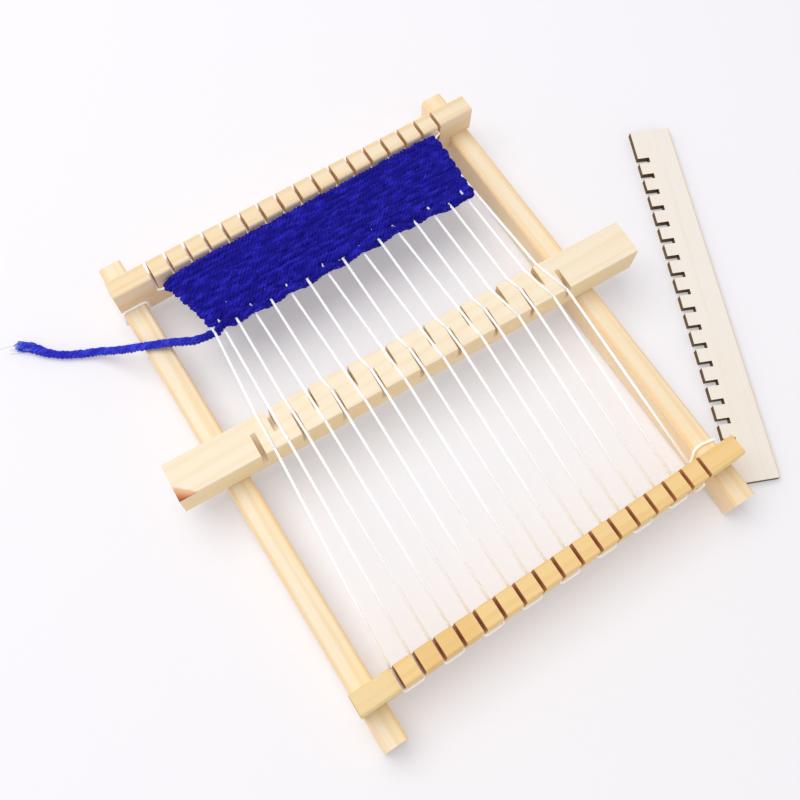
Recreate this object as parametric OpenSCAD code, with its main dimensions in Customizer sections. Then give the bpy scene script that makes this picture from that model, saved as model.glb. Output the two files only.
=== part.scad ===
// Small frame loom: four glued bars, a rolling heddle bar, a loose comb, a string warp and a started cloth.
// X runs along the slotted bars, Y from the near bar to the far bar, Z up, and Z=0 is the table.
// The origin is the middle of the left rail's underside.
// The eight millimetre slot pitch sets the scale of everything else.

/* [Slots and warp] */
// Distance from one slot to the next
pitch = 8; // [6:0.5:12]
// Number of slots in each bar, one more than the number of teeth
slots = 17; // [9:2:25]
// Saw cut width of a bar slot
slot_w = 1.4; // [1.3:0.1:3]
// Depth of a bar slot from the bar's top
slot_depth = 10; // [6:0.5:12]
// Warp string diameter
string_d = 1; // [0.6:0.1:1.1]
// How far up the far slots the taut string has crept, as a share of their depth
slot_creep = 0.64; // [0:0.02:0.76]

/* [Frame] */
// Length of each slotted bar
bar_l = 160; // [150:1:220]
// Thickness of each slotted bar along Y
bar_t = 8; // [6:0.5:12]
// Height of each slotted bar
bar_h = 20; // [16:0.5:26]
// How far a bar's end stands past the rail's outer face
bar_proud = 0.7; // [0.2:0.1:2]
// Clear distance between the two slotted bars
window_l = 163; // [140:1:220]
// Width of each rail
rail_w = 9; // [7:0.5:12]
// Height of each rail
rail_h = 15; // [12:0.5:20]
// How far a rail runs past a bar's outer face
rail_past = 13; // [5:1:30]
// Depth of the lap that drops a bar's end between the rails
lap_drop = 7; // [3:0.5:10]
// Rounding of a rail's long edges
rail_r = 1.5; // [0.5:0.1:3]
// Rounding of a bar's top edges
bar_r = 1; // [0.4:0.1:2]

/* [Heddle bar] */
// Length of the heddle bar
heddle_l = 192; // [180:1:260]
// Width of the heddle bar along Y
heddle_w = 14.6; // [12:0.2:20]
// Height of the heddle bar
heddle_h = 14.5; // [12:0.5:20]
// Leg of the diagonal saw cut on each face of the heddle bar
notch_leg = 9; // [6:0.5:11]
// Width of a heddle notch
notch_w = 1.9; // [1.6:0.1:3]
// Rounding of the heddle bar's long edges
heddle_r = 0.5; // [0.3:0.1:1]
// Where the heddle bar's middle lies along X
heddle_x = 0.9; // [-5:0.1:5]
// Where the heddle bar's middle lies along Y
heddle_y = 4.9; // [-30:0.1:30]
// Small turn of the heddle bar seen from above, degrees
heddle_yaw = -2.3; // [-3:0.1:3]

/* [Comb] */
// Length of the comb
comb_l = 157.7; // [150:0.1:220]
// Width of the comb
comb_w = 17.2; // [14:0.1:25]
// Thickness of the comb's plywood
comb_t = 3; // [1.5:0.1:4]
// Distance from one comb notch to the next
comb_pitch = 7.9; // [6:0.1:8.2]
// Distance from the comb's near end to the middle of its first notch
comb_first = 16.7; // [6:0.1:20]
// Width of a comb notch
comb_notch_w = 2.4; // [1.5:0.1:4]
// Depth of a comb notch
comb_notch_d = 4.9; // [3:0.1:8]
// Gap between the comb's near corner and the right rail
comb_gap = 1.7; // [0.3:0.1:10]
// Y of the comb's near toothed corner
comb_y = -96.1; // [-100:0.1:-60]
// Turn of the comb from the Y axis, degrees
comb_turn = -23.4; // [-40:0.2:-5]

/* [Cloth and yarn] */
// Number of weft rows beaten up against the far bar
rows = 13; // [4:1:20]
// Thickness of one weft row
row_d = 3.6; // [2:0.1:5]
// Pitch from one weft row to the next at the middle
row_pitch = 2.4; // [1.5:0.1:3]
// Half width of the cloth at the far bar
cloth_half = 60.9; // [56:0.1:70]
// How far the left edge draws in from the far bar to the last row
draw_left = 7.2; // [0:0.1:12]
// How far the right edge draws in from the far bar to the last row
draw_right = 2.4; // [0:0.2:12]
// How far the last row gathers the first warp thread inwards
gather_left = 8.5; // [0:0.5:12]
// How far the last row gathers the last warp thread inwards
gather_right = 4.6; // [0:0.2:12]
// How far the last row turns up at its left end
row_flick = 2; // [0:0.1:4]
// How far the last row sags towards the near bar at its right end
row_sag = 1.6; // [0:0.1:3]
// Diameter of the weft yarn's free tail
yarn_d = 3.4; // [2:0.1:5]

/* [Hidden] */
$fn = 48;

// Room left between the string and anything that it bears on
string_gap = 0.1;
string_off = string_d / 2 + string_gap;
// Extra reach of a cutting body past the surface it cuts
cut = 1;

// Frame levels and faces
rail_out = bar_l / 2 - bar_proud;
rail_in = rail_out - rail_w;
bar_y = (window_l + bar_t) / 2;
bar_in = window_l / 2;
bar_out = bar_in + bar_t;
rail_l = 2 * (bar_out + rail_past);
bar_z = rail_h - lap_drop;
bar_top = bar_z + bar_h;
slot_z = bar_top - slot_depth;
string_z = slot_z + string_off;
heddle_top = rail_h + heddle_h;
over_z = heddle_top + string_off;

// Middle of slot number i along X
function bar_x(i) = (i - (slots - 1) / 2) * pitch;
function mix(a, b, t) = a + (b - a) * t;
function clamp(v, lo, hi) = min(max(v, lo), hi);

// How high the string lies in a far slot at x, lowest in the first slot
last_x = bar_x(slots - 1);
function far_z(x) = string_z
    + slot_creep * slot_depth * (1 - exp(-max(0, x + last_x) / (0.6 * pitch)));
// Height of the straight warp between the far slots and the heddle's top
heddle_far = heddle_y + heddle_w / 2;
function warp_z(x, y) = mix(far_z(x), over_z, (bar_in - y) / (bar_in - heddle_far));

// The last weft row, called the fell, and where it gathers each thread
function row_y(j) = bar_in - 0.3 - row_d / 2 - j * row_pitch;
fell_y = row_y(rows - 1);
function hump(x, middle, spread) = exp(-pow((x / cloth_half - middle) / spread, 2));
function sway(x) = row_flick * hump(x, -0.94, 0.12) - row_sag * hump(x, 0.85, 0.25);
function fell_x(i) = 0.994 * bar_x(i) + gather_left * exp(-0.75 * i)
    - gather_right * exp(-1.5 * (slots - 1 - i));
function fell_yi(i) = fell_y - 1.5 + sway(fell_x(i));
// Where a thread lies halfway up the cloth and next to the far bar
mid_y = (fell_y + bar_in) / 2;
function mid_x(i) = (fell_x(i) + 0.955 * bar_x(i)) / 2 + 0.3 * draw_left * exp(-0.75 * i);
top_y = bar_in - 2.5;
function on_plane(x, y) = [x, y, warp_z(x, y)];

// How far along, from the near bar to the fell, a thread crosses the heddle's two top edges
t_near = (heddle_y - heddle_w / 2 + bar_in) / (fell_y + bar_in);
t_far = (heddle_y + heddle_w / 2 + bar_in) / (fell_y + bar_in);
// Threads that slipped off their notches and lie on the teeth beside them
slipped = [0, 13, 15, 16];
// A thread in a notch stays this near the notch's middle
notch_play = 0.3;
// Inner lip of a notch and outer edge of the heddle, measured across from its middle
lip = heddle_w / 2 - notch_leg - 0.1;
edge = heddle_w / 2 - 0.05;
function is_slipped(i) = len(search(i, slipped)) > 0;
function in_near_notch(i) = i % 2 == 0 && !is_slipped(i);
function in_far_notch(i) = i % 2 == 1 && !is_slipped(i);
function notch_x(i, ly) = heddle_x + bar_x(i) * cos(heddle_yaw) - ly * sin(heddle_yaw);
function free_x(i, ly) = mix(mix(bar_x(i), fell_x(i), t_near) - 0.4 + 0.17 * i,
    mix(bar_x(i), fell_x(i), t_far) - 0.8, ly / heddle_w + 0.5);
function cross_x(i, ly) = let (m = notch_x(i, ly))
    (in_near_notch(i) && ly <= -lip) || (in_far_notch(i) && ly >= lip)
    ? clamp(free_x(i, ly), m - notch_play, m + notch_play) : free_x(i, ly);
// A point of thread i, ly across from the heddle's middle
function crossing(i, ly, z) = let (x = cross_x(i, ly))
    [x, heddle_y + (x - heddle_x) * tan(heddle_yaw) + ly / cos(heddle_yaw), z];
// The same point on the straight line between two others, as the thread passes through a notch
function sagging(i, ly, a, b) = let (p = crossing(i, ly, 0))
    [p[0], p[1], mix(a[2], b[2], (p[1] - a[1]) / (b[1] - a[1]))];

// One warp run from the near slot to the far slot
function slot_near(i) = [bar_x(i), -bar_in - 0.4, string_z];
function on_near(i) = crossing(i, in_near_notch(i) ? -lip : -edge, over_z);
function on_far(i) = crossing(i, in_far_notch(i) ? lip : edge, over_z);
function at_fell(i) = on_plane(fell_x(i), fell_yi(i));
function run(i) = concat(
    [[bar_x(i), -bar_out + 0.2, string_z], slot_near(i)],
    in_near_notch(i) ? [sagging(i, -edge, slot_near(i), on_near(i))] : [],
    [on_near(i), on_far(i)],
    in_far_notch(i) ? [sagging(i, edge, on_far(i), at_fell(i))] : [],
    [at_fell(i), on_plane(mid_x(i), mid_y), on_plane(0.955 * bar_x(i), top_y),
    [bar_x(i), bar_in - 0.3, far_z(bar_x(i))], [bar_x(i), bar_out - 0.2, far_z(bar_x(i))]]);
function reversed(v) = [for (k = [len(v) - 1:-1:0]) v[k]];
// The turn round one tooth, s is -1 at the near bar and 1 at the far bar
function slot_end_z(i, s) = s > 0 ? far_z(bar_x(i)) : string_z;
function turn(i, s) = [
    [bar_x(i) + 0.35, s * (bar_out + 0.45), slot_end_z(i, s)],
    [bar_x(i) + 1.1, s * (bar_out + string_off + 0.05), slot_end_z(i, s)],
    [bar_x(i + 1) - 1.1, s * (bar_out + string_off + 0.05), slot_end_z(i + 1, s)],
    [bar_x(i + 1) - 0.35, s * (bar_out + 0.45), slot_end_z(i + 1, s)]];

// The tie round the left rail, from its loose end to the far bar's first slot
rail_side = rail_out + string_off + 0.05;
under_z = bar_z - string_off - 0.05;
tie_x = rail_in - string_off;
tie_y = bar_in - string_off;
start_tie = [
    [-rail_side, tie_y - 1.9, 9],
    [-rail_side, tie_y - 0.5, rail_h - 2.5],
    [-rail_out - 0.3, tie_y, rail_h],
    [-rail_out + 1.1, tie_y, rail_h + string_off],
    [-rail_in - 1.1, tie_y, rail_h + string_off],
    [-rail_in + 0.3, tie_y, rail_h],
    [-tie_x, tie_y, rail_h - 1.5],
    [-tie_x, tie_y, bar_z - 0.1],
    [-tie_x + 0.1, bar_in - 0.4, under_z + 0.1],
    [-tie_x + 0.4, bar_in + 0.2, under_z],
    [bar_x(0) - 0.6, bar_out - 0.2, under_z],
    [bar_x(0) - 0.4, bar_out + 0.4, under_z + 0.1],
    [bar_x(0) - 0.3, bar_out + string_off, bar_z - 0.1],
    [bar_x(0), bar_out + string_off, slot_z - 0.1],
    [bar_x(0), bar_out + 0.4, slot_z + 0.5]];
// The loop round the right rail, from the near bar's last slot to its loose end
end_tie = [
    [last_x, -bar_out - 0.4, slot_z + 0.5],
    [last_x, -bar_out - string_off, slot_z - 0.1],
    [last_x + 0.5, -bar_out - string_off, bar_z - 0.1],
    [last_x + 0.6, -bar_out - 0.4, under_z + 0.1],
    [last_x + 0.9, -bar_out + 0.2, under_z],
    [tie_x - 1.3, -bar_in - 0.2, under_z],
    [tie_x - 1.1, -bar_in + 0.4, under_z + 0.1],
    [tie_x - 1, -bar_in + 0.7, bar_z - 0.1],
    [tie_x - 0.4, -bar_in + 2, rail_h - 2],
    [tie_x + 0.1, -bar_in + 3, rail_h + 0.3],
    [rail_in + 1.1, -bar_in + 3.6, rail_h + 1.1],
    [rail_in + 3.5, -bar_in + 3.7, rail_h + 1],
    [rail_out - 1.3, -bar_in + 3, rail_h + string_off],
    [rail_out + 0.3, -bar_in + 2.6, rail_h],
    [rail_side, -bar_in + 2.3, rail_h - 2.5],
    [rail_side, -bar_in + 2.1, 7]];

// The whole string in order: tie, runs with their tooth turns, loop
warp_route = concat(start_tie,
    [for (i = [0:slots - 1])
        for (p = concat(i % 2 == 0 ? reversed(run(i)) : run(i),
            i < slots - 1 ? turn(i, i % 2 == 0 ? -1 : 1) : [])) p],
    end_tie);

// The free yarn tail: out of the last row, over the left rail and down to the table
tail_route = [[-53.3, 50.9, 25.3], [-55.7, 51.4, 25.2], [-58.8, 52, 24.6], [-61.8, 53.1, 23.4],
    [-64, 54.5, 22.2], [-67.7, 57.5, 20.1], [-71.9, 60.6, 18], [-76.5, 63, 17.1],
    [-80.4, 64.9, 16.5], [-84.5, 67.9, 13.6], [-89.5, 72.8, 8.3], [-94.2, 77.4, 4],
    [-99, 80.4, 2.1], [-103, 82.6, 1.75], [-107, 85, 1.75], [-110.7, 88, 1.75],
    [-113.2, 91, 1.75], [-115.6, 94, 1.75], [-118.5, 96.3, 1.75]];

// Sweeping: unit vectors, ring frames carried along the route, and the closed tube
function unit(v) = v / norm(v);
function tangent(r, k) = k == 0 ? unit(r[1] - r[0])
    : k == len(r) - 1 ? unit(r[k] - r[k - 1])
    : unit(unit(r[k] - r[k - 1]) + unit(r[k + 1] - r[k]));
function carried(n, t) = unit(n - (n * t) * t);
function normals(r, first) = [
    for (k = 0, n = carried(first, tangent(r, 0)); k < len(r);
        k = k + 1, n = k < len(r) ? carried(n, tangent(r, k)) : n) n];
module tube(r, d, first) {
    sides = 8;
    ns = normals(r, first);
    rings = [for (k = [0:len(r) - 1])
        let (t = tangent(r, k), n = ns[k], b = cross(t, n))
        for (a = [0:sides - 1])
            r[k] + d / 2 * (cos(a * 360 / sides) * n + sin(a * 360 / sides) * b)];
    last = (len(r) - 1) * sides;
    walls = [for (k = [0:len(r) - 2]) for (a = [0:sides - 1])
        [k * sides + a, k * sides + (a + 1) % sides,
            (k + 1) * sides + (a + 1) % sides, (k + 1) * sides + a]];
    caps = [[for (a = [sides - 1:-1:0]) a], [for (a = [0:sides - 1]) last + a]];
    polyhedron(points = rings, faces = [for (f = concat(walls, caps)) reversed(f)]);
}

// Least distance between the string's skin and itself, leaving out one bend's own neighbours
function to_segment(p, a, b) = let (ab = b - a, t = clamp((p - a) * ab / (ab * ab), 0, 1))
    norm(p - a - t * ab);
bend_points = 7;
warp_gap = min([for (k = [0:len(warp_route) - 1])
    for (m = [k + bend_points:1:len(warp_route) - 2])
        to_segment(warp_route[k], warp_route[m], warp_route[m + 1])]) - string_d;
echo(warp_rings = len(warp_route), least_gap_of_warp_to_itself = warp_gap);

// Pieces are drawn about the frame's middle, then put where the origin is the left rail's underside
module placed() {
    translate([rail_out - rail_w / 2, 0, 0])
        children();
}

// A box profile with its four corners rounded by circles, exact arcs
module soft_square(w, h, r) {
    translate([r, 0])
        square([w - 2 * r, h]);
    translate([0, r])
        square([w, h - 2 * r]);
    for (x = [r, w - r])
        for (y = [r, h - r])
            translate([x, y])
                circle(r = r);
}

// The same profile with only its two top corners rounded
module soft_top(w, h, r) {
    square([w, h - r]);
    translate([r, 0])
        square([w - 2 * r, h]);
    for (x = [r, w - r])
        translate([x, h - r])
            circle(r = r);
}

// A rail along Y with its middle at x
module rail_at(x) {
    translate([x - rail_w / 2, rail_l / 2, 0])
        rotate([90, 0, 0])
            linear_extrude(rail_l)
                soft_square(rail_w, rail_h, rail_r);
}

// A slotted bar with its middle at y, lapped over both rails
module bar_at(y) {
    difference() {
        translate([-bar_l / 2, y - bar_t / 2, bar_z])
            rotate([90, 0, 90])
                linear_extrude(bar_l)
                    soft_top(bar_t, bar_h, bar_r);
        for (i = [0:slots - 1])
            translate([bar_x(i) - slot_w / 2, y - bar_t / 2 - cut, slot_z])
                cube([slot_w, bar_t + 2 * cut, slot_depth + cut]);
        for (s = [0, 1])
            mirror([s, 0, 0])
                translate([rail_in, y - bar_t / 2 - cut, bar_z - cut])
                    cube([bar_l, bar_t + 2 * cut, lap_drop + cut]);
    }
}

module left_rail() {
    color([0.97, 0.87, 0.68]) placed()
        rail_at(-rail_out + rail_w / 2);
}

module right_rail() {
    color([0.97, 0.87, 0.68]) placed()
        rail_at(rail_out - rail_w / 2);
}

module near_bar() {
    color([0.93, 0.8, 0.56]) placed()
        bar_at(-bar_y);
}

module far_bar() {
    color([0.98, 0.91, 0.78]) placed()
        bar_at(bar_y);
}

// A diagonal saw cut that takes one long edge off across the slot's width
module edge_cut(x, side) {
    reach = notch_leg * sqrt(2);
    translate([x, side * heddle_w / 2, heddle_h])
        rotate([45, 0, 0])
            translate([-notch_w / 2, -reach, -reach])
                if (side < 0)
                    translate([0, 0, reach / 2])
                        cube([notch_w, 2 * reach, 2 * reach]);
                else
                    translate([0, reach / 2, 0])
                        cube([notch_w, 2 * reach, 2 * reach]);
}

// Square bar on the rails, its notches alternate between the two top edges
module heddle_bar() {
    color([0.96, 0.88, 0.72]) placed()
        translate([heddle_x, heddle_y, rail_h])
            rotate([0, 0, heddle_yaw])
                difference() {
                    translate([-heddle_l / 2, -heddle_w / 2, 0])
                        rotate([90, 0, 90])
                            linear_extrude(heddle_l)
                                soft_square(heddle_w, heddle_h, heddle_r);
                    for (i = [0:slots - 1])
                        edge_cut(bar_x(i), i % 2 == 0 ? -1 : 1);
                }
}

// Plywood comb flat on the table beside the loom, teeth towards the loom
module comb() {
    color([0.93, 0.88, 0.8]) placed()
        translate([rail_out + comb_gap, comb_y, 0])
            rotate([0, 0, comb_turn])
                difference() {
                    cube([comb_w, comb_l, comb_t]);
                    for (i = [0:slots - 1])
                        translate([-cut, comb_first + i * comb_pitch - comb_notch_w / 2, -cut])
                            cube([comb_notch_d + cut, comb_notch_w, comb_t + 2 * cut]);
                }
}

// One unbroken string, tied to the left rail and looped to the right rail
module warp() {
    color([0.96, 0.95, 0.96]) placed()
        tube(warp_route, string_d, [0, 0, 1]);
}

// Beaten rows of yarn that cover the warp, a ribbed sheet with a bump where each row turns back.
// Each row gives four steps along the cloth, and each edge has three steps that round it off.
module woven_cloth() {
    steps = 4 * rows;
    inner = 5;
    stations = inner + 6;
    e = [0, 0.6, 1.8];
    thin = [0.3, 0.75, 1];
    function u_at(t) = t / steps;
    function y_at(t) = t == 0 ? bar_in - 0.3
        : row_y(0) + row_pitch / 2 - t * row_pitch / 4 - (t == steps ? 0.5 : 0);
    function crest(t) = (1 - cos(90 * t)) / 2;
    function half(t) = row_d / 2 * (t == 0 || t == steps ? 0.35 : 0.74 + 0.26 * crest(t));
    function bump(t) = (floor(t / 4) % 2 == 0 ? 1 : 0.4) * crest(t);
    function left(t) = -cloth_half - 1.2 + draw_left * (1 - pow(1 - u_at(t), 1.3)) - bump(t);
    function right(t) = cloth_half + 1.2 - draw_right * u_at(t) + bump(t);
    // Steps from the nearer edge, as far as the cloth is still thinner there
    function side_step(m) = min(m, stations - 1 - m, 2);
    function x_at(t, m) = m < 3 ? left(t) + e[m]
        : m > inner + 2 ? right(t) - e[side_step(m)]
        : mix(left(t) + e[2], right(t) - e[2], (m - 2) / (inner + 1));
    function skin(t, m, s) = let (x = x_at(t, m), y = y_at(t) + u_at(t) * sway(x))
        [x, y, warp_z(x, y) + s * half(t) * thin[side_step(m)]];
    n = (steps + 1) * stations;
    function id(t, m, s) = (s > 0 ? 0 : n) + t * stations + m;
    points = [for (s = [1, -1]) for (t = [0:steps]) for (m = [0:stations - 1]) skin(t, m, s)];
    top = [for (t = [0:steps - 1]) for (m = [0:stations - 2])
        [id(t, m, 1), id(t, m + 1, 1), id(t + 1, m + 1, 1), id(t + 1, m, 1)]];
    bottom = [for (t = [0:steps - 1]) for (m = [0:stations - 2])
        [id(t, m, -1), id(t + 1, m, -1), id(t + 1, m + 1, -1), id(t, m + 1, -1)]];
    left_side = [for (t = [0:steps - 1])
        [id(t, 0, 1), id(t + 1, 0, 1), id(t + 1, 0, -1), id(t, 0, -1)]];
    right_side = [for (t = [0:steps - 1])
        [id(t, stations - 1, 1), id(t, stations - 1, -1),
            id(t + 1, stations - 1, -1), id(t + 1, stations - 1, 1)]];
    far_end = [for (m = [0:stations - 2])
        [id(0, m, 1), id(0, m, -1), id(0, m + 1, -1), id(0, m + 1, 1)]];
    near_end = [for (m = [0:stations - 2])
        [id(steps, m, 1), id(steps, m + 1, 1), id(steps, m + 1, -1), id(steps, m, -1)]];
    color([0.12, 0.1, 0.58]) placed()
        polyhedron(points = points,
            faces = concat(top, bottom, left_side, right_side, far_end, near_end));
}

// The weft yarn's free end
module weft_tail() {
    color([0.13, 0.11, 0.62]) placed()
        tube(tail_route, yarn_d, [0, 0, 1]);
}

left_rail();
right_rail();
near_bar();
far_bar();
heddle_bar();
comb();
warp();
woven_cloth();
weft_tail();
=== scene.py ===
import math
import random

import bpy
from mathutils import Matrix, Vector


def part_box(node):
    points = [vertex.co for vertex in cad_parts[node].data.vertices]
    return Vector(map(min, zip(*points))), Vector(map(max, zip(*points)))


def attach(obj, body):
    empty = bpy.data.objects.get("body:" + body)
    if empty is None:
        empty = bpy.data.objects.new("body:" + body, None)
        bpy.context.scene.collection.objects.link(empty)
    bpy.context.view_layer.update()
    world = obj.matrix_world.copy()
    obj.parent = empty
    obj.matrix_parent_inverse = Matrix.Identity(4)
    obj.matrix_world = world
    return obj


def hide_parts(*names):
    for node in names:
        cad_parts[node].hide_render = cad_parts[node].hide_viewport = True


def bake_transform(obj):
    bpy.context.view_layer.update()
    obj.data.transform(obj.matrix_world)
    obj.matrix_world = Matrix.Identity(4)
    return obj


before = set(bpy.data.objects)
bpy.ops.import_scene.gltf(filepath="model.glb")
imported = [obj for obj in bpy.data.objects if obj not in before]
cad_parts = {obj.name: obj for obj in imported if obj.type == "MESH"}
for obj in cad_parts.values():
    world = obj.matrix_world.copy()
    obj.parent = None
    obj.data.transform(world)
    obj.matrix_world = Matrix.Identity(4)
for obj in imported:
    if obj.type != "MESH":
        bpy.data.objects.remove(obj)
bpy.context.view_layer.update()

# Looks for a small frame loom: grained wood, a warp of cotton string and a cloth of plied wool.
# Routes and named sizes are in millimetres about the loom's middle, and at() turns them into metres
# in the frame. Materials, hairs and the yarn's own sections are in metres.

MM = 0.001
UP = Vector((0, 0, 1))
random.seed(7)

# Sizes read from the frame
LOW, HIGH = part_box("near_bar")
MIDDLE_X = (LOW[0] + HIGH[0]) / 2 / MM
BAR_OUT = -LOW[1] / MM
BAR_IN = -HIGH[1] / MM
BAR_TOP = HIGH[2] / MM
BAR_LOW = LOW[2] / MM
RAIL_LOW, RAIL_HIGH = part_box("left_rail")
RAIL_TOP = RAIL_HIGH[2] / MM
RAIL_IN = MIDDLE_X - RAIL_HIGH[0] / MM
RAIL_OUT = MIDDLE_X - RAIL_LOW[0] / MM
HEDDLE_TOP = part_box("heddle_bar")[1][2] / MM

# The same values as in the part's source. SLIPPED are the threads that lie out of their notches,
# counted from 0 at the left.
PITCH = 8
SLOTS = 17
STRING_D = 1.0
STRING_OFF = STRING_D / 2 + 0.1
SLOT_DEPTH = 10
SLOT_CREEP = 0.64
SLOT_Z = BAR_TOP - SLOT_DEPTH
STRING_Z = SLOT_Z + STRING_OFF
OVER_Z = HEDDLE_TOP + STRING_OFF
HEDDLE_W = 14.6
HEDDLE_X = 0.9
HEDDLE_Y = 4.9
HEDDLE_YAW = math.radians(-2.3)
NOTCH_LEG = 9
LIP = HEDDLE_W / 2 - NOTCH_LEG - 0.1
EDGE = HEDDLE_W / 2 - 0.05
SLIPPED = (0, 13, 15, 16)
ROWS = 13
ROW_D = 3.6
ROW_PITCH = 2.4
CLOTH_HALF = 60.9
DRAW_LEFT = 7.2
DRAW_RIGHT = 2.4
GATHER_LEFT = 8.5
GATHER_RIGHT = 4.6
ROW_FLICK = 2
ROW_SAG = 1.6
YARN_D = 3.4

# Values of this scene alone: play of a thread in its notch, and its sink in a far slot
NOTCH_PLAY = 0.42
FAR_SINK = 2

# The weft yarn in metres: its lay is negative because the strands wind to the right. In the cloth,
# the strands' half sizes round the yarn's middle and of a strand, sideways and upright.
STRANDS = 4
STRAND_SIDES = 8
LAY = -0.0066
CLOTH_SPREAD = (0.00085, 0.00068)
CLOTH_THICK = (0.0008, 0.00068)


def at(x, y, z):
    """A point in metres in the shared frame from millimetres about the loom's middle."""
    return Vector(((MIDDLE_X + x) * MM, y * MM, z * MM))


def mix(a, b, t):
    return a + (b - a) * t


def clamp(v, lo, hi):
    return min(max(v, lo), hi)


# Camera: it looks from above the near left corner, rolled a little

EYE = at(-85.4, -102.5, 369.1)
AIM = at(15.1, 23.9, 0)
ROLL = 0.1002


def add_camera():
    data = bpy.data.cameras.new("photo_camera")
    data.sensor_width = 36
    data.lens = 45.62
    data.shift_x = -0.0168
    data.shift_y = -0.0942
    data.clip_start = 0.01
    cam = bpy.data.objects.new("photo_camera", data)
    bpy.context.scene.collection.objects.link(cam)
    ahead = (AIM - EYE).normalized()
    right = ahead.cross(UP).normalized()
    up = right.cross(ahead)
    right, up = (
        right * math.cos(ROLL) + up * math.sin(ROLL),
        up * math.cos(ROLL) - right * math.sin(ROLL),
    )
    turn = Matrix((right, up, -ahead)).transposed().to_4x4()
    cam.matrix_world = Matrix.Translation(EYE) @ turn
    bpy.context.scene.camera = cam


add_camera()


# Materials

class Shade:
    """A node material, built a node at a time."""

    def __init__(self, name, rough, **fixed):
        self.mat = bpy.data.materials.new(name)
        self.mat.use_nodes = True
        self.tree = self.mat.node_tree
        self.bsdf = self.tree.nodes["Principled BSDF"]
        self.bsdf.inputs["Roughness"].default_value = rough
        for key, value in fixed.items():
            self.bsdf.inputs[key.replace("_", " ")].default_value = value
        self.coords = self.add("ShaderNodeTexCoord")
        self.geo = self.add("ShaderNodeNewGeometry")

    def add(self, kind, **props):
        node = self.tree.nodes.new(kind)
        for key, value in props.items():
            setattr(node, key, value)
        return node

    def put(self, socket, value):
        if isinstance(value, bpy.types.NodeSocket):
            self.tree.links.new(value, socket)
        elif isinstance(value, tuple) and len(value) == 3 and socket.type == "RGBA":
            socket.default_value = (*value, 1)
        else:
            socket.default_value = value

    def mapped(self, coord, scale=(1, 1, 1), location=(0, 0, 0), rotation=(0, 0, 0)):
        node = self.add("ShaderNodeMapping")
        self.put(node.inputs["Vector"], coord)
        node.inputs["Scale"].default_value = scale
        node.inputs["Location"].default_value = location
        node.inputs["Rotation"].default_value = rotation
        return node.outputs["Vector"]

    def noise(self, coord, scale, detail=2, rough=0.5, distortion=0):
        node = self.add("ShaderNodeTexNoise")
        self.put(node.inputs["Vector"], coord)
        node.inputs["Scale"].default_value = scale
        node.inputs["Detail"].default_value = detail
        node.inputs["Roughness"].default_value = rough
        node.inputs["Distortion"].default_value = distortion
        return node.outputs["Fac"]

    def wave(self, coord, scale, distortion, detail, detail_scale, direction):
        node = self.add("ShaderNodeTexWave", bands_direction=direction)
        self.put(node.inputs["Vector"], coord)
        node.inputs["Scale"].default_value = scale
        node.inputs["Distortion"].default_value = distortion
        node.inputs["Detail"].default_value = detail
        node.inputs["Detail Scale"].default_value = detail_scale
        return node.outputs["Fac"]

    def step(self, value, low, high):
        """0 below low and 1 above high, smooth between, or the other way where low is above high."""
        node = self.add("ShaderNodeMapRange", interpolation_type="SMOOTHSTEP")
        self.put(node.inputs["Value"], value)
        a, b = (low, high) if low < high else (high, low)
        node.inputs["From Min"].default_value = a
        node.inputs["From Max"].default_value = b
        node.inputs["To Min"].default_value = 0 if low < high else 1
        node.inputs["To Max"].default_value = 1 if low < high else 0
        return node.outputs["Result"]

    def math(self, op, a, b=0.0):
        node = self.add("ShaderNodeMath", operation=op)
        self.put(node.inputs[0], a)
        self.put(node.inputs[1], b)
        return node.outputs[0]

    def times(self, a, b):
        return self.math("MULTIPLY", a, b)

    def parts(self, vector):
        node = self.add("ShaderNodeSeparateXYZ")
        self.put(node.inputs[0], vector)
        return node.outputs

    def facing(self, axis):
        """How squarely a face looks along a world axis, from 0 to 1."""
        return self.math("ABSOLUTE", self.parts(self.geo.outputs["Normal"])["XYZ".index(axis)])

    def off(self, value, middle):
        """How far a value lies from its middle, either way."""
        return self.math("ABSOLUTE", self.math("SUBTRACT", value, middle))

    def ragged(self, value, noise, reach):
        """A value moved to and fro by a noise."""
        return self.math("ADD", value, self.times(self.math("SUBTRACT", noise, 0.5), reach))

    def blend(self, fac, a, b, how="MIX"):
        node = self.add("ShaderNodeMix", data_type="RGBA", blend_type=how)
        self.put(node.inputs[0], fac)
        self.put(node.inputs[6], a)
        self.put(node.inputs[7], b)
        return node.outputs[2]

    def finish(self, colour, height=None, strength=0.3, distance=0.0003):
        self.put(self.bsdf.inputs["Base Color"], colour)
        if height is not None:
            bump = self.add("ShaderNodeBump")
            bump.inputs["Strength"].default_value = strength
            bump.inputs["Distance"].default_value = distance
            self.put(bump.inputs["Height"], height)
            self.tree.links.new(bump.outputs["Normal"], self.bsdf.inputs["Normal"])
        return self.mat


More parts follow.
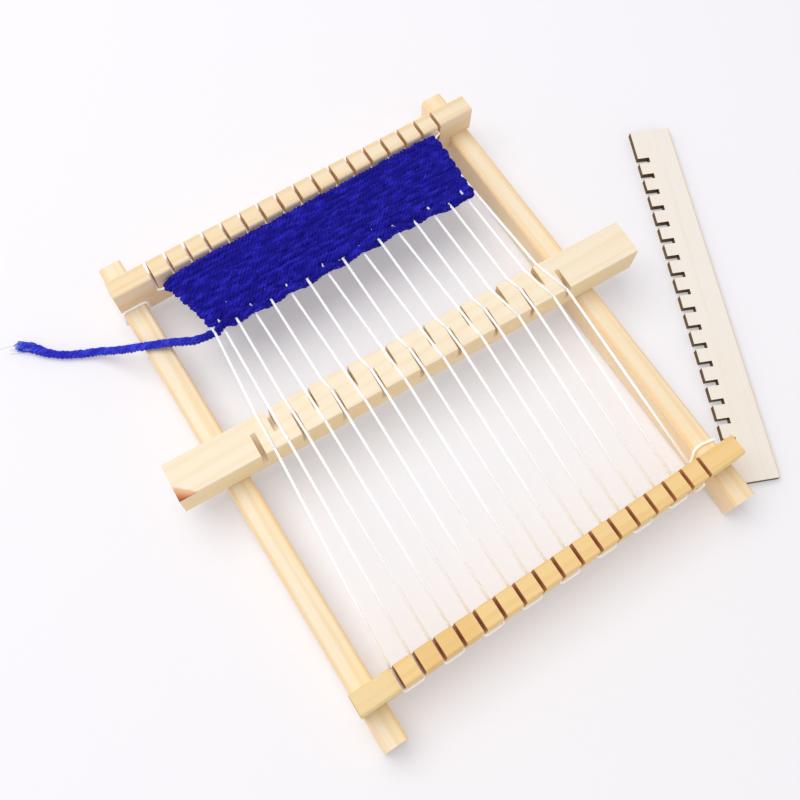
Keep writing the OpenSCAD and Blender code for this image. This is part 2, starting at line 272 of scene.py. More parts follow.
def wood(name, pale, warm, grain, along, seed, end_grain_and_slot_shade, extra=None, figure=1.0,
         side=(1.05, 1.02, 0.94)):
    """Planed softwood: broad pale and warm bands, growth lines and fine fibres along one axis.

    Upright faces are multiplied by side, a painted light for the light they get.
    Faces across the grain show rings in a tone that is partly the darker cut end grain and partly
    painted shade inside the slots and notches.
    """
    s = Shade(name, rough=0.55, Specular_IOR_Level=0.35)
    across = {"X": "Y", "Y": "X"}[along]
    squeeze = {"X": (0.06, 1, 1), "Y": (1, 0.06, 1)}[along]
    fine = {"X": (0.02, 1, 1), "Y": (1, 0.02, 1)}[along]
    place = s.coords.outputs["Object"]
    moved = s.mapped(place, location=(seed, 0, 0))
    long_coord = s.mapped(place, squeeze, (seed, seed * 2, seed * 3))
    fine_coord = s.mapped(place, fine, (seed, 0, seed))
    clouds = s.noise(long_coord, 130, 3, 0.5, 0.4)
    lines = s.wave(long_coord, 62, 5, 3, 1.5, across)
    fibres = s.noise(fine_coord, 1700, 3, 0.6)
    flecks = s.noise(moved, 60, 3, 0.6)
    colour = s.blend(s.times(s.step(clouds, 0.35, 0.7), figure), pale, warm)
    colour = s.blend(s.times(s.step(lines, 0.55, 1), 0.4 * figure), colour, grain)
    colour = s.blend(s.times(s.step(fibres, 0.5, 0.8), 0.2), colour, grain)
    colour = s.blend(s.times(s.step(flecks, 0.5, 0.8), 0.15), colour, warm)
    if extra:
        colour = extra(s, place, colour)
    upright = s.step(s.facing("Z"), 0.7, 0.3)
    # Painted light: upright faces are brightened and tinted by side for the light they get
    colour = s.blend(upright, colour, s.blend(1.0, colour, side, "MULTIPLY"))
    # Faces across the grain: darker cut end grain with rings, whose tone also paints the shade inside
    # the slots and notches
    rings = s.wave(moved, 150, 2, 2, 2, "Z")
    cut_faces_and_slot_shade = s.blend(s.step(rings, 0.3, 0.9), end_grain_and_slot_shade, tuple(0.8 * c for c in end_grain_and_slot_shade))
    colour = s.blend(s.step(s.facing(along), 0.6, 0.8), colour, cut_faces_and_slot_shade)
    height = s.math("ADD", fibres, s.times(lines, 0.4))
    return s.finish(colour, height, 0.25, 0.00015)


def rail_bands(middle):
    """Orange bands beside a rail's cream heart, and plain pale flanks."""
    def extra(s, place, colour):
        wobble = s.noise(s.mapped(place, (1, 0.08, 1)), 90, 3)
        off = s.ragged(s.off(s.parts(place)[0], middle), wobble, 0.004)
        banded = s.blend(s.times(s.step(off, 0.0022, 0.004), 0.75), colour, (0.9, 0.62, 0.31))
        upright = s.step(s.facing("Z"), 0.7, 0.3)
        return s.blend(s.times(upright, 0.8), banded, (0.93, 0.78, 0.6))
    return extra


def corner_stain(point, size):
    """A resin stain across one corner of a bar's top face."""
    def extra(s, place, colour):
        x, y, z = s.parts(place)
        inward = s.math("ADD", s.math("SUBTRACT", x, point.x), s.math("SUBTRACT", y, point.y))
        blots = s.noise(s.mapped(place, (0.4, 1, 1)), 420, 4, 0.6, 0.6)
        inward = s.ragged(inward, blots, size * 0.35)
        top = s.step(z, point.z - 0.0006, point.z - 0.0003)
        halo = s.times(s.step(inward, size * 1.05, size * 0.85), top)
        core = s.times(s.step(inward, size * 0.95, size * 0.1), top)
        colour = s.blend(s.times(halo, 0.75), colour, (0.78, 0.36, 0.13))
        return s.blend(core, colour, (0.42, 0.075, 0.025))
    return extra


def stretches(spots):
    """Stretches of a bar in another tone, each given as its middle, width, strength and tone."""
    soft = 1.5

    def extra(s, place, colour):
        x = s.parts(place)[0]
        for middle, width, amount, tone in spots:
            off = s.off(x, (MIDDLE_X + middle) * MM)
            band = s.step(off, (width / 2 + soft) * MM, (width / 2 - soft) * MM)
            colour = s.blend(s.times(band, amount), colour, tone)
        return colour
    return extra


CREAM = (0.89, 0.79, 0.61)
STRAW = (0.88, 0.71, 0.45)
HONEY = (0.8, 0.58, 0.3)
RAIL_END = (0.72, 0.5, 0.3)
HEDDLE_CORNER = at(-95.3, 1.4, HEDDLE_TOP)
# The side tints below are painted light: they set the upright faces' brightness and tone for the light
# they get
MATERIALS = {
    "left_rail": wood("left_rail_pine", CREAM, STRAW, HONEY, "Y", 0.3, RAIL_END,
                      extra=rail_bands(0.0)),
    "right_rail": wood("right_rail_pine", CREAM, STRAW, HONEY, "Y", 1.7, RAIL_END,
                       extra=rail_bands(2 * MIDDLE_X * MM)),
    # The bars' end-grain tones are partly their darker cut end grain and partly painted shade in their
    # slots and notches
    "near_bar": wood("near_bar_pine", (0.86, 0.61, 0.275), (0.85, 0.565, 0.22), (0.72, 0.43, 0.14),
                     "X", 2.9, (0.7, 0.33, 0.13), figure=0.6, side=(1.14, 1.18, 1.16),
                     extra=stretches([(-44, 22, 0.5, (0.76, 0.47, 0.16)),
                                      (-73, 14, 0.5, (0.82, 0.67, 0.39))])),
    "far_bar": wood("far_bar_pine", (0.85, 0.72, 0.52), (0.84, 0.66, 0.41), (0.76, 0.54, 0.27),
                    "X", 4.1, (0.8, 0.5, 0.25), side=(1.17, 1.13, 1.15)),
    "heddle_bar": wood("heddle_bar_pine", (0.88, 0.77, 0.59), (0.86, 0.72, 0.5), HONEY,
                       "X", 5.3, (0.92, 0.7, 0.42), figure=0.45, side=(1.12, 1.05, 0.86),
                       extra=corner_stain(HEDDLE_CORNER, 0.0068)),
}


# How far the comb is turned, so that its grain follows its length
COMB_TURN = math.radians(23.4)


def plywood():
    """Laser-cut plywood: pale veneer with fine grain, charred cuts and one scorched long edge."""
    s = Shade("comb_plywood", rough=0.6, Specular_IOR_Level=0.3)
    place = s.coords.outputs["Object"]
    turned = s.mapped(place, rotation=(0, 0, COMB_TURN))
    back = Matrix.Rotation(COMB_TURN, 3, "Z")
    edge = max((back @ v.co).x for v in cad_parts["comb"].data.vertices)
    streaks = s.noise(s.mapped(turned, (1, 0.02, 1)), 900, 3, 0.6)
    clouds = s.noise(s.mapped(turned, (1, 0.15, 1)), 70, 3, 0.5)
    colour = s.blend(s.step(clouds, 0.35, 0.7), (0.85, 0.81, 0.745), (0.86, 0.8, 0.71))
    colour = s.blend(s.times(s.step(streaks, 0.5, 0.75), 0.3), colour, (0.78, 0.66, 0.5))
    burnt = s.step(s.parts(turned)[0], edge - 0.0005, edge - 0.0001)
    colour = s.blend(s.times(burnt, 0.8), colour, (0.72, 0.46, 0.22))
    layers = s.noise(s.mapped(place, (1, 1, 40)), 60, 2)
    char = s.blend(s.step(layers, 0.3, 0.7), (0.07, 0.035, 0.002), (0.2, 0.1, 0.012))
    colour = s.blend(s.step(s.facing("Z"), 0.7, 0.4), colour, char)
    return s.finish(colour, streaks, 0.2, 0.0001)


MATERIALS["comb"] = plywood()


def plied(name, base, light, dark, turns, fuzz, rough, bump=0.45, shaded=None, **fixed):
    """Twisted yarn or string: its fibres wind along the tube, with light tufts and dark patches.

    turns is how often the fibres wind round in a metre, and fuzz how fine they are. shaded is a
    range of x across which the yarn darkens, a painted shade.
    """
    s = Shade(name, rough=rough, **fixed)
    uv = s.coords.outputs["UV"]
    around, along = s.parts(uv)[0], s.parts(uv)[1]
    spiral = s.math("ADD", around, s.times(along, turns))
    join = s.add("ShaderNodeCombineXYZ")
    s.put(join.inputs[0], s.times(spiral, 9))
    s.put(join.inputs[1], s.times(along, 900 * fuzz))
    fibres = s.noise(join.outputs[0], 1.0, 3, 0.65, 0.4)
    drawn = s.mapped(s.coords.outputs["Object"], (0.35, 1, 1))
    tufts = s.noise(drawn, 620 * fuzz, 2, 0.5)
    patches = s.noise(drawn, 260, 2, 0.5)
    colour = s.blend(s.step(fibres, 0.3, 0.7), dark, base)
    colour = s.blend(s.times(s.step(tufts, 0.45, 0.7), 0.55), colour, light)
    colour = s.blend(s.times(s.step(patches, 0.5, 0.3), 0.3), colour, dark)
    # Painted shade: across this range the yarn is darkened as if out of the light
    if shaded:
        near = s.step(s.parts(s.coords.outputs["Object"])[0], shaded[0], shaded[1])
        colour = s.blend(near, colour, s.blend(1.0, colour, (0.35, 0.3, 0.6), "MULTIPLY"))
    height = s.math("ADD", fibres, s.times(tufts, 0.6))
    return s.finish(colour, height, bump, 0.0003)


# The string glows a little: a painted light that keeps it as bright as the pale paper around it
GLOWING_STRING = plied("cotton_string_glowing", (0.985, 0.98, 0.985), (1.0, 1.0, 1.0), (0.95, 0.945, 0.95),
               350, 1.4, 0.75, bump=0.03, Sheen_Weight=0.3, Subsurface_Weight=1.0,
               Subsurface_Radius=(1, 1, 1), Subsurface_Scale=0.001,
               Emission_Color=(0.85, 0.92, 1, 1), Emission_Strength=0.15)
WOOL = plied("blue_wool", (0.012, 0.008, 0.37), (0.036, 0.032, 0.68), (0.004, 0.002, 0.15),
             -450, 1.0, 0.9, Sheen_Weight=0.12, Sheen_Roughness=0.5, Sheen_Tint=(0.3, 0.3, 1, 1),
             Specular_IOR_Level=0.12)
# A lit copy of the wool for the tail: its brighter tones are painted light, and toward the cloth it is
# darkened again as painted shade
TAIL_WOOL_PAINTED_LIT = plied("blue_wool_in_light", (0.04, 0.045, 0.7), (0.075, 0.105, 0.93),
                  (0.012, 0.008, 0.36), -450, 1.0, 0.9, shaded=(at(-74, 0, 0).x, at(-54, 0, 0).x),
                  Sheen_Weight=0.2, Sheen_Roughness=0.5,
                  Sheen_Tint=(0.4, 0.45, 1, 1), Specular_IOR_Level=0.12)
# Brighter wool for loose fibres: painted light for the glow of thin fibres that the light passes
# through
WISPS_PAINTED_LIT = plied("blue_wisps_painted_lit", (0.08, 0.13, 0.85), (0.25, 0.4, 0.95), (0.04, 0.06, 0.6),
              300, 1.0, 0.9, Sheen_Weight=0.2, Specular_IOR_Level=0.1)

for node, mat in MATERIALS.items():
    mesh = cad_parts[node].data
    mesh.materials.clear()
    mesh.materials.append(mat)


# Mesh helpers

def mesh_piece(name, verts, faces, uvs, mat):
    mesh = bpy.data.meshes.new(name)
    mesh.from_pydata([tuple(v) for v in verts], [], faces)
    layer = mesh.uv_layers.new(name="UVMap")
    for poly in mesh.polygons:
        poly.use_smooth = True
        for k, loop in enumerate(poly.loop_indices):
            layer.data[loop].uv = uvs[poly.index][k]
    mesh.materials.append(mat)
    obj = bpy.data.objects.new(name, mesh)
    bpy.context.scene.collection.objects.link(obj)
    return obj


def tangents(line):
    """The unit direction of a line at each of its points."""
    out = []
    for k in range(len(line)):
        ahead = line[min(k + 1, len(line) - 1)] - line[k]
        behind = line[k] - line[max(k - 1, 0)]
        t = (ahead.normalized() if ahead.length else Vector()) + (
            behind.normalized() if behind.length else Vector())
        out.append(t.normalized())
    return out


def new_store():
    """Lists of vertices, faces and UVs, which the tubes of a piece are added to."""
    return [], [], []


def skin(store, rings, lengths):
    """Adds a closed tube of rings to a store. Its UVs are the turn round it and the length along it."""
    verts, faces, uvs = store
    start, n = len(verts), len(rings[0])
    for ring in rings:
        verts.extend(ring)
    for k in range(len(rings) - 1):
        for a in range(n):
            b = (a + 1) % n
            faces.append((start + k * n + a, start + k * n + b,
                          start + (k + 1) * n + b, start + (k + 1) * n + a))
            u0, u1 = a / n, (a + 1) / n
            uvs.append([(u0, lengths[k]), (u1, lengths[k]),
                        (u1, lengths[k + 1]), (u0, lengths[k + 1])])
    for k, order in ((0, range(n - 1, -1, -1)), (len(rings) - 1, range(n))):
        faces.append(tuple(start + k * n + a for a in order))
        uvs.append([(a / n, lengths[k]) for a in order])


def arc_lengths(line):
    """How far along a line each of its points is."""
    out = [0.0]
    for a, b in zip(line, line[1:]):
        out.append(out[-1] + (b - a).length)
    return out


def round_tube(store, line, radius, sides):
    """A round tube along a line, its rings carried along without twist."""
    ts = tangents(line)
    n = UP - ts[0] * UP.dot(ts[0])
    n.normalize()
    rings = []
    for p, t in zip(line, ts):
        n = (n - t * n.dot(t)).normalized()
        b = t.cross(n)
        rings.append([p + (n * math.cos(a) + b * math.sin(a)) * radius
                      for a in (2 * math.pi * k / sides for k in range(sides))])
    skin(store, rings, arc_lengths(line))


def plied_tube(store, line, spread, thick, lumps, scale=None):
    """The weft yarn's strands, wound round a line.

    spread and thick are half sizes, sideways and upright: of the strands' way round the line, and
    of a strand. lumps is how uneven a strand is, and scale gives its size along the line.
    """
    ts = tangents(line)
    along = arc_lengths(line)
    for strand in range(STRANDS):
        rings = []
        for k, (p, t, s) in enumerate(zip(line, ts, along)):
            side = UP.cross(t).normalized()
            rise = t.cross(side)
            grow = 1.0 if scale is None else scale(k / (len(line) - 1))
            grow *= 1 + lumps * (math.sin(s / 0.0019 + 2.1 * strand) * math.sin(s / 0.0043 + strand))
            turn = 2 * math.pi * (s / LAY + strand / STRANDS)
            c = p + (side * math.cos(turn) * spread[0] + rise * math.sin(turn) * spread[1]) * grow
            rings.append([c + (side * math.cos(a) * thick[0] + rise * math.sin(a) * thick[1]) * grow
                          for a in (2 * math.pi * m / STRAND_SIDES for m in range(STRAND_SIDES))])
        skin(store, rings, along)


def smooth_line(points, step):
    """Points along a smooth curve through the given ones, about step apart."""
    out = []
    for k in range(len(points) - 1):
        p0 = points[max(k - 1, 0)]
        p1, p2 = points[k], points[k + 1]
        p3 = points[min(k + 2, len(points) - 1)]
        count = max(2, round((p2 - p1).length / step))
        for m in range(count):
            t = m / count
            out.append(0.5 * ((2 * p1) + (p2 - p0) * t + (2 * p0 - 5 * p1 + 4 * p2 - p3) * t * t
                              + (3 * p1 - p0 - 3 * p2 + p3) * t ** 3))
    out.append(points[-1].copy())
    return out


# The weft yarn's free tail, its route as in the part's source

TAIL_ROUTE = [(-53.3, 50.9, 25.3), (-55.7, 51.4, 25.2), (-58.8, 52, 24.6), (-61.8, 53.1, 23.4),
              (-64, 54.5, 22.2), (-67.7, 57.5, 20.1), (-71.9, 60.6, 18), (-76.5, 63, 17.1),
              (-80.4, 64.9, 16.5), (-84.5, 67.9, 13.6), (-89.5, 72.8, 8.3), (-94.2, 77.4, 4),
              (-99, 80.4, 2.1), (-103, 82.6, 1.75), (-107, 85, 1.75), (-110.7, 88, 1.75),
              (-113.2, 91, 1.75), (-115.6, 94, 1.75), (-118.5, 96.3, 1.75)]

# Its radius in metres, how much of it opens towards the frayed end, and its loose fibres
TAIL_R = YARN_D / 2 * MM
FRAYED_SHARE = 0.14
END_HAIRS = 520
LONG_HAIRS = 4
SIDE_HAIRS = 340


def lift(points, low):
    """Raises points to a lowest height over the table."""
    for p in points:
        p.z = max(p.z, low)


def flare(u):
    """The tail's size at its share u of the way: it opens a little where it is frayed."""
    end = clamp((u - (1 - FRAYED_SHARE)) / FRAYED_SHARE, 0, 1)
    return 1 + 0.22 * math.sin(math.pi * 0.8 * end)


def tail_wisps(line):
    """Loose fibres: most stand out of the frayed end, and the others out of the tail's sides. They are
    in the brighter wisp wool, a painted light.
    """
    wisps = new_store()
    r = TAIL_R
    end, lead = line[-1], (line[-1] - line[-6]).normalized()
    aside = lead.cross(UP).normalized()
    for n in range(END_HAIRS):
        long_hair = n < LONG_HAIRS
        across, rise = random.uniform(-1, 1), random.uniform(-1, 1)
        base = end - lead * random.uniform(0.0005, 0.006) + aside * across * r * 0.95
        base.z += rise * r * 0.85
        fan = aside * (across * 0.1 + random.uniform(-0.1, 0.1)) + Vector((0, 0, rise * 0.1))
        out = (lead + fan * (3 if long_hair else 1)).normalized()
        reach = random.uniform(0.007, 0.011) if long_hair else random.uniform(0.001, 0.0034)
        reach *= 1 - 0.45 * across ** 2
        bow = Matrix.Rotation(random.uniform(-0.4, 0.4), 3, "Z") @ out
        strand = [base, base + out * reach * 0.5, base + (out + bow) * reach * 0.5]
        lift(strand, 0.0003)
        round_tube(wisps, smooth_line(strand, 0.0006), 0.00004 if long_hair else 0.00014, 4)
    for _ in range(SIDE_HAIRS):
        k = random.randrange(4, len(line) - 4)
        turn = random.uniform(0, 2 * math.pi)
        out = (aside * math.cos(turn) + UP * math.sin(turn)
               + lead * random.uniform(-0.8, 0.8)).normalized()
        base = line[k] + out * r * 0.85
        strand = [base, base + out * random.uniform(0.0004, 0.0011)]
        lift(strand, 0.0003)
        round_tube(wisps, strand, 0.00005, 3)
    return mesh_piece("weft_tail_wisps", *wisps, WISPS_PAINTED_LIT)


def weft_tail():
    points = [at(*p) for p in TAIL_ROUTE]
    line = smooth_line(points, 0.0007)
    store = new_store()
    r = TAIL_R
    plied_tube(store, line, (r * 0.5, r * 0.48), (r * 0.5, r * 0.46), 0.1, flare)
    lift(store[0], 0.00005)
    tail = mesh_piece("weft_tail_yarn", *store, TAIL_WOOL_PAINTED_LIT)
    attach(tail, "frame")
    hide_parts("weft_tail")
    frayed = tail_wisps(line)
    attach(frayed, "frame")


weft_tail()


# The warp string

def bar_x(i):
    """Where slot i is along the bars, counted from 0 at the left."""
    return (i - (SLOTS - 1) / 2) * PITCH


LAST_X = bar_x(SLOTS - 1)
HEDDLE_NEAR = HEDDLE_Y - HEDDLE_W / 2
HEDDLE_FAR = HEDDLE_Y + HEDDLE_W / 2

# How close together the threads are at the cloth's last and first rows, against the slots
FELL_SPREAD = 0.994
TOP_SPREAD = 0.955

# How far the string's straight runs reach into a slot's mouth and stop short of its other end,
# and how far its turns and ties stand off the wood beyond its own gap
MOUTH = 0.4
SHORT = 0.2
CLEAR = 0.05


def far_z(x):
    """Height of the string in a far slot at x."""
    return STRING_Z + SLOT_CREEP * SLOT_DEPTH * (1 - math.exp(-max(0.0, x + LAST_X) / (0.6 * PITCH)))


def warp_z(x, y):
    """Height of the straight warp between the far slots and the heddle's top."""
    return mix(far_z(x), OVER_Z, (BAR_IN - y) / (BAR_IN - HEDDLE_FAR))


def row_y(j):
    """The middle of row j of the cloth, counted from 0 at the far bar."""
    return BAR_IN - 0.3 - ROW_D / 2 - j * ROW_PITCH


def hump(x, middle, spread):
    """A smooth bump of height 1, its middle and spread as shares of the cloth's half width."""
    return math.exp(-((x / CLOTH_HALF - middle) / spread) ** 2)


def sway(x):
    """How far the last row stands up the loom at x, the rows before it in proportion."""
    return ROW_FLICK * hump(x, -0.94, 0.12) - ROW_SAG * hump(x, 0.85, 0.25)


FELL_Y = row_y(ROWS - 1)
MID_Y = (FELL_Y + BAR_IN) / 2
TOP_Y = BAR_IN - 2.5


def from_left(i):
    """1 at the first thread, and soon less towards the right."""
    return math.exp(-0.75 * i)


def from_right(i):
    """1 at the last thread, and soon less towards the left."""
    return math.exp(-1.5 * (SLOTS - 1 - i))


def fell_x(i):
    """Where thread i leaves the cloth's last row."""
    return FELL_SPREAD * bar_x(i) + GATHER_LEFT * from_left(i) - GATHER_RIGHT * from_right(i)


def top_x(i):
    """Where thread i is in the cloth's first row."""
    return TOP_SPREAD * bar_x(i)


def mid_x(i):
    """Where thread i is halfway up the cloth."""
    return (fell_x(i) + top_x(i)) / 2 + 0.3 * DRAW_LEFT * from_left(i)


# How far the threads have drifted to the left on the heddle bar: at its near side, where it is
# less by a step for each thread to the right, and at its far side
DRIFT_NEAR = 0.4
DRIFT_STEP = 0.17
DRIFT_FAR = 0.8


def in_near_notch(i):
    return i % 2 == 0 and i not in SLIPPED


def in_far_notch(i):
    return i % 2 == 1 and i not in SLIPPED


def cross_x(i, ly):
    """Where thread i lies on the heddle bar, ly across from the bar's middle."""
    t_near = (HEDDLE_NEAR + BAR_IN) / (FELL_Y + BAR_IN)
    t_far = (HEDDLE_FAR + BAR_IN) / (FELL_Y + BAR_IN)
    near = mix(bar_x(i), fell_x(i), t_near) - DRIFT_NEAR + DRIFT_STEP * i
    far = mix(bar_x(i), fell_x(i), t_far) - DRIFT_FAR
    x = mix(near, far, ly / HEDDLE_W + 0.5)
    m = HEDDLE_X + bar_x(i) * math.cos(HEDDLE_YAW) - ly * math.sin(HEDDLE_YAW)
    if (in_near_notch(i) and ly <= -LIP) or (in_far_notch(i) and ly >= LIP):
        return clamp(x, m - NOTCH_PLAY, m + NOTCH_PLAY)
    return x


def crossing(i, ly):
    """The point of thread i on the heddle bar's top, ly across from the bar's middle."""
    x = cross_x(i, ly)
    y = HEDDLE_Y + (x - HEDDLE_X) * math.tan(HEDDLE_YAW) + ly / math.cos(HEDDLE_YAW)
    return (x, y, OVER_Z)


def slot_near(i):
    """Where thread i enters its near slot."""
    return (bar_x(i), -BAR_IN - MOUTH, STRING_Z)


def at_fell(i):
    """Where thread i enters the cloth."""
    x, y = fell_x(i), FELL_Y - 1.5 + sway(fell_x(i))
    return (x, y, warp_z(x, y))


def sagging(i, ly, a, b):
    """Thread i ly across from the heddle bar's middle, but at the height of the line from a to b."""
    x, y, _ = crossing(i, ly)
    return (x, y, mix(a[2], b[2], (y - a[1]) / (b[1] - a[1])))


def slot_z(i):
    """The string sinks a little into its far slot, under the first row's edge."""
    return max(STRING_Z, far_z(bar_x(i)) - FAR_SINK)


def cloth_thread(i):
    """Thread i from the fell through the cloth to the far slot's mouth."""
    tuck = 1.5 * from_right(i)
    line = [at_fell(i)]
    for x, y in ((mid_x(i) - 0.6 * tuck, MID_Y), (top_x(i) - tuck, TOP_Y)):
        line.append((x, y, warp_z(x, y) - 0.6))
    return line + [(bar_x(i), BAR_IN - 0.3, slot_z(i))]


def tooth_turn(i, side):
    """The string's turn from slot i round the next tooth, at the far bar where side is 1."""
    z0, z1 = (slot_z(i), slot_z(i + 1)) if side > 0 else (STRING_Z, STRING_Z)
    corner, face = side * (BAR_OUT + 0.45), side * (BAR_OUT + STRING_OFF + CLEAR)
    return [(bar_x(i) + 0.35, corner, z0), (bar_x(i) + 1.1, face, z0),
            (bar_x(i + 1) - 1.1, face, z1), (bar_x(i + 1) - 0.35, corner, z1)]


def near_end(i):
    """Thread i through its near slot."""
    return [slot_near(i), (bar_x(i), -BAR_OUT + SHORT, STRING_Z)]


def far_end(i):
    """Thread i through the cloth and its far slot."""
    return cloth_thread(i) + [(bar_x(i), BAR_OUT - SHORT, slot_z(i))]


# The string's two ends: the tie at the left rail, and the loop round the right one. The bare
# numbers are the bends of these two routes.
RAIL_SIDE = RAIL_OUT + STRING_OFF + CLEAR
UNDER_Z = BAR_LOW - STRING_OFF - CLEAR
TIE_X = RAIL_IN - STRING_OFF
TIE_Y = BAR_IN - STRING_OFF
START_TIE = [
    (-RAIL_SIDE, TIE_Y - 1.9, 9), (-RAIL_SIDE, TIE_Y - 0.5, RAIL_TOP - 2.5),
    (-RAIL_OUT - 0.3, TIE_Y, RAIL_TOP), (-RAIL_OUT + 1.1, TIE_Y, RAIL_TOP + STRING_OFF),
    (-RAIL_IN - 1.1, TIE_Y, RAIL_TOP + STRING_OFF), (-RAIL_IN + 0.3, TIE_Y, RAIL_TOP),
    (-TIE_X, TIE_Y, RAIL_TOP - 1.5), (-TIE_X, TIE_Y, BAR_LOW - 0.1),
    (-TIE_X + 0.1, BAR_IN - 0.4, UNDER_Z + 0.1), (-TIE_X + 0.4, BAR_IN + 0.2, UNDER_Z),
    (bar_x(0) - 0.6, BAR_OUT - 0.2, UNDER_Z), (bar_x(0) - 0.4, BAR_OUT + 0.4, UNDER_Z + 0.1),
    (bar_x(0) - 0.3, BAR_OUT + STRING_OFF, BAR_LOW - 0.1),
    (bar_x(0), BAR_OUT + STRING_OFF, SLOT_Z - 0.1), (bar_x(0), BAR_OUT + 0.4, SLOT_Z + 0.5)]
END_TIE = [
    (LAST_X, -BAR_OUT - 0.4, SLOT_Z + 0.5), (LAST_X, -BAR_OUT - STRING_OFF, SLOT_Z - 0.1),
    (LAST_X + 0.5, -BAR_OUT - STRING_OFF, BAR_LOW - 0.1),
    (LAST_X + 0.6, -BAR_OUT - 0.4, UNDER_Z + 0.1), (LAST_X + 0.9, -BAR_OUT + 0.2, UNDER_Z),
    (TIE_X - 1.3, -BAR_IN - 0.2, UNDER_Z), (TIE_X - 1.1, -BAR_IN + 0.4, UNDER_Z + 0.1),
    (TIE_X - 1, -BAR_IN + 0.7, BAR_LOW - 0.1), (TIE_X - 0.4, -BAR_IN + 2, RAIL_TOP - 2),
    (TIE_X + 0.1, -BAR_IN + 3, RAIL_TOP + 0.3), (RAIL_IN + 1.1, -BAR_IN + 3.6, RAIL_TOP + 1.1),
    (RAIL_IN + 3.5, -BAR_IN + 3.7, RAIL_TOP + 1),
    (RAIL_OUT - 1.3, -BAR_IN + 3, RAIL_TOP + STRING_OFF), (RAIL_OUT + 0.3, -BAR_IN + 2.6, RAIL_TOP),
    (RAIL_SIDE, -BAR_IN + 2.3, RAIL_TOP - 2.5), (RAIL_SIDE, -BAR_IN + 2.1, 7)]


def string_piece(name, lines):
    store = new_store()
    for line in lines:
        round_tube(store, [at(*p) for p in line], STRING_D / 2 * MM, 10)
    piece = mesh_piece(name, *store, GLOWING_STRING)
    return piece


def warp():
    """The fixed lengths ride the frame, and the spans over the heddle bar are separate pieces with
    their transforms baked in.
    """
    last = SLOTS - 1
    fixed = [START_TIE + list(reversed(far_end(0)))]
    for i in range(0, last, 2):
        fixed.append(near_end(i) + tooth_turn(i, -1) + list(reversed(near_end(i + 1))))
    for i in range(1, last, 2):
        fixed.append(far_end(i) + tooth_turn(i, 1) + list(reversed(far_end(i + 1))))
    fixed.append(near_end(last) + END_TIE)
    held = string_piece("warp_on_frame", fixed)
    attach(held, "frame")
    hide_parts("warp")

    def across(ly):
        """The point over the loom ly across from the heddle bar's middle."""
        return at(HEDDLE_X - ly * math.sin(HEDDLE_YAW), HEDDLE_Y + ly * math.cos(HEDDLE_YAW), OVER_Z)

    lower = [i for i in range(SLOTS) if in_near_notch(i)]
    upper = [i for i in range(SLOTS) if in_far_notch(i)]
    raised = upper + list(SLIPPED)
    # Each group's lines, and two distances across from the heddle bar's middle, a start and an end
    spans = {
        "warp_raised_near": ([[slot_near(i), crossing(i, -EDGE)] for i in raised], -20, -EDGE - 0.05),
        "warp_raised_far": ([[crossing(i, -EDGE), crossing(i, -4.5), at_fell(i)] for i in upper],
                            25, -4.4),
        "warp_slipped_far": ([[crossing(i, -EDGE), crossing(i, EDGE), at_fell(i)]
                              for i in SLIPPED], 30.3, -EDGE + 0.05),
        "warp_lower_near": ([[slot_near(i), sagging(i, -EDGE, slot_near(i), crossing(i, -LIP)),
                              crossing(i, -LIP)] for i in lower], -EDGE - 1.2, -LIP),
        "warp_lower_far": ([[crossing(i, -LIP), crossing(i, EDGE), at_fell(i)] for i in lower],
                           16.05, -LIP),
    }
    for name, (lines, start, end) in spans.items():
        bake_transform(string_piece(name, lines))


warp()


# The cloth: one plied yarn led to and fro over and under the warp

# How far the yarn goes over and under the threads, which shows most in the last two rows
WEAVE_AMP = {ROWS - 1: 1.05, ROWS - 2: 0.85}
WEAVE_AMP_REST = 0.2
ROW_STEPS = 220
TURN_STEPS = 8
CLOTH_HAIRS = 900
RIM_HAIRS = 420
RIM_SKIP = 6


def thread_x(i, y):
    """Where thread i is inside the cloth, at distance y up the loom."""
    if y < MID_Y:
        return mix(fell_x(i), mid_x(i), max(0.0, (y - FELL_Y) / (MID_Y - FELL_Y)))
    return mix(mid_x(i), top_x(i), min(1.0, (y - MID_Y) / (TOP_Y - MID_Y)))


def thread_count(x, y):
    """How many threads lie left of x, with the part of the way to the next."""
    xs = [thread_x(i, y) for i in range(SLOTS)]
    if x <= xs[0]:
        return (x - xs[0]) / PITCH
    for i in range(SLOTS - 1):
        if x <= xs[i + 1]:
            return i + (x - xs[i]) / (xs[i + 1] - xs[i])
    return SLOTS - 1 + (x - xs[-1]) / PITCH


def row_ends(j):
    """The left and right end of a row's middle line, the yarn's half width inside the edges."""
    u = j / (ROWS - 1)
    left = -CLOTH_HALF - 1.2 + DRAW_LEFT * (1 - (1 - u) ** 1.3) - (0.5 if j == ROWS - 2 else 0)
    return left + 1.7 - u, CLOTH_HALF - DRAW_RIGHT * u - (0.6 if j == 0 else 1.3)


def waves(low, high, short, long):
    """Three random waves, each given as its height, its length and where it starts."""
    return [(random.uniform(low, high), random.uniform(short, long), random.uniform(0, 6))
            for _ in range(3)]


def wave_sum(some, x):
    return sum(a * math.sin(x / b + c) for a, b, c in some)


def into_tail(left, x, y, z):
    """The last row's point at x, led on to where the tail starts."""
    t = clamp((left + 5 - x) / 5, 0, 1)
    y = mix(y, TAIL_ROUTE[0][1], t * t * (3 - 2 * t))
    t = clamp((left + 2 - x) / 2, 0, 1)
    over = max(z, warp_z(x, y) + 0.5) if x < left + 3 else z
    return (x, y, mix(over, TAIL_ROUTE[0][2], t * t))


